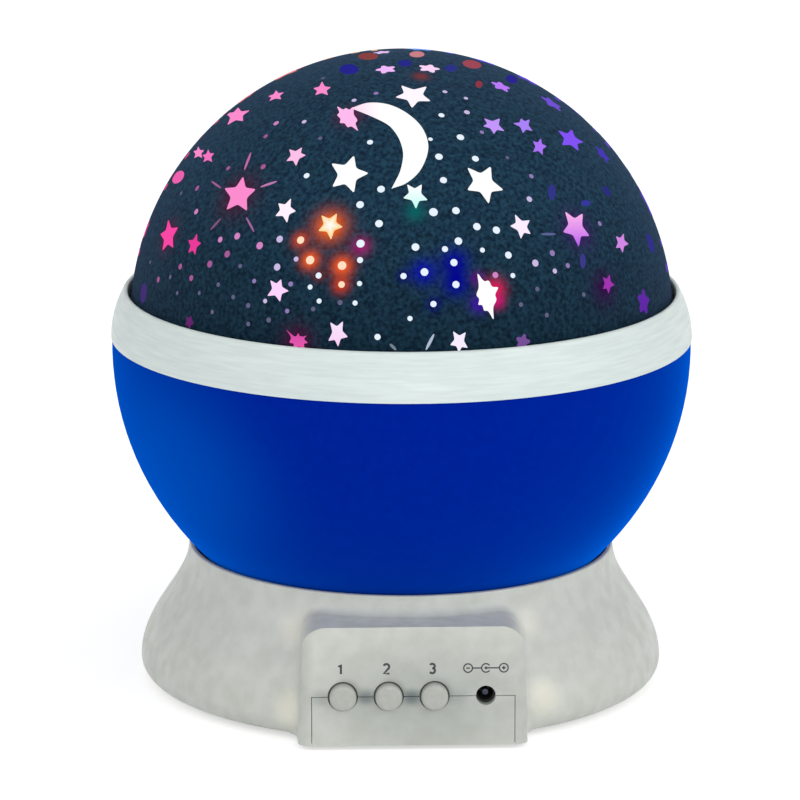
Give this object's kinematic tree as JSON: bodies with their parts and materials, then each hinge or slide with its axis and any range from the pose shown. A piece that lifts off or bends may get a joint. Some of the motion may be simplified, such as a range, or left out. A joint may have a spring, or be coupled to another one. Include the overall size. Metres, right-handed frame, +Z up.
{
  "type": "star night light projector",
  "caption": "Rotating star night light: a pierced dark dome in a white collar on a blue bowl, turning on a bell-shaped base with push buttons and an adapter socket.",
  "frame": {"origin": "on the spin axis, at the underside of the rubber feet", "axes": "+Z up along the spin axis, -Y towards the button panel, +X to the right of someone facing the panel"},
  "size_m": [0.1304, 0.1304, 0.1433],
  "materials": {
    "white_plastic": "milky white moulded plastic, satin",
    "blue_plastic": "glossy ultramarine moulded plastic",
    "dome_plastic": "dark printed dome with clear stars",
    "natural_plastic": "undyed acetal",
    "black_plastic": "black moulded plastic",
    "rubber": "soft grey rubber",
    "steel": "zinc-plated steel",
    "brass": "plated brass",
    "nickel": "nickel-plated spring steel",
    "motor_can": "drawn metal can",
    "circuit_board": "green circuit board",
    "lamp_board": "white circuit board",
    "battery_jacket": "plain battery jacket",
    "led_warm": "clear warm LED",
    "led_red": "red LED",
    "led_green": "green LED",
    "led_blue": "blue LED",
    "lead_red": "red insulated lead",
    "lead_black": "black insulated lead"
  },
  "bodies": {
    "base": {"base_shell": "white_plastic", "bottom_cover": "white_plastic", "rubber_feet": "rubber", "cover_screws": "steel", "control_board": "circuit_board", "control_chip": "black_plastic", "supply_capacitor": "battery_jacket", "board_screws": "steel", "switch_bodies": "black_plastic", "dc_jack": "black_plastic", "jack_pin": "brass", "gear_motor": "motor_can", "motor_screws": "steel", "spindle": "natural_plastic", "spindle_screws": "steel", "retaining_clip": "steel", "led_holder": "white_plastic", "led_board": "lamp_board", "led_warm": "led_warm", "led_red": "led_red", "led_green": "led_green", "led_blue": "led_blue", "led_lead": "lead_red", "motor_lead": "lead_black", "battery_lead": "lead_red", "battery_cells": "battery_jacket", "contact_springs": "nickel", "contact_plates": "nickel"},
    "head": {"bowl": "blue_plastic", "collar": "white_plastic", "collar_screws": "steel", "hub_bush": "natural_plastic", "ring_gear": "natural_plastic", "ring_gear_screws": "steel"},
    "pinion": {"pinion": "natural_plastic", "motor_shaft": "steel"},
    "dome": {"star_dome": "dome_plastic"},
    "button_a": {"button_cap_a": "white_plastic", "switch_plunger_a": "black_plastic"},
    "button_b": {"button_cap_b": "white_plastic", "switch_plunger_b": "black_plastic"},
    "button_c": {"button_cap_c": "white_plastic", "switch_plunger_c": "black_plastic"},
    "battery_door": {"battery_door": "white_plastic", "door_screw": "steel"}
  },
  "joints": [
    {"name": "head_spin", "type": "hinge", "parent": "base", "child": "head", "pos_m": [0, 0, 0.03], "axis": [0, 0, 1], "continuous": true},
    {"name": "pinion_spin", "type": "hinge", "parent": "base", "child": "pinion", "pos_m": [0, -0.024, 0.023], "axis": [0, 0, 1], "continuous": true},
    {"name": "dome_lift", "type": "slide", "parent": "head", "child": "dome", "axis": [0, 0, 1], "range_m": [0, 0.08]},
    {"name": "button_a_press", "type": "slide", "parent": "base", "child": "button_a", "axis": [0, 1, 0], "range_m": [0, 0.0015], "stiffness_N_per_m": 600, "springref_m": -0.0008},
    {"name": "button_b_press", "type": "slide", "parent": "base", "child": "button_b", "axis": [0, 1, 0], "range_m": [0, 0.0015], "stiffness_N_per_m": 600, "springref_m": -0.0008},
    {"name": "button_c_press", "type": "slide", "parent": "base", "child": "button_c", "axis": [0, 1, 0], "range_m": [0, 0.0015], "stiffness_N_per_m": 600, "springref_m": -0.0008},
    {"name": "battery_door_open", "type": "hinge", "parent": "base", "child": "battery_door", "pos_m": [0, -0.001, 0.0019], "axis": [-1, 0, 0], "range_deg": [0, 95]}
  ],
  "couplings": [
    {"joint": "pinion_spin", "follows": "head_spin", "ratio": 5}
  ]
}
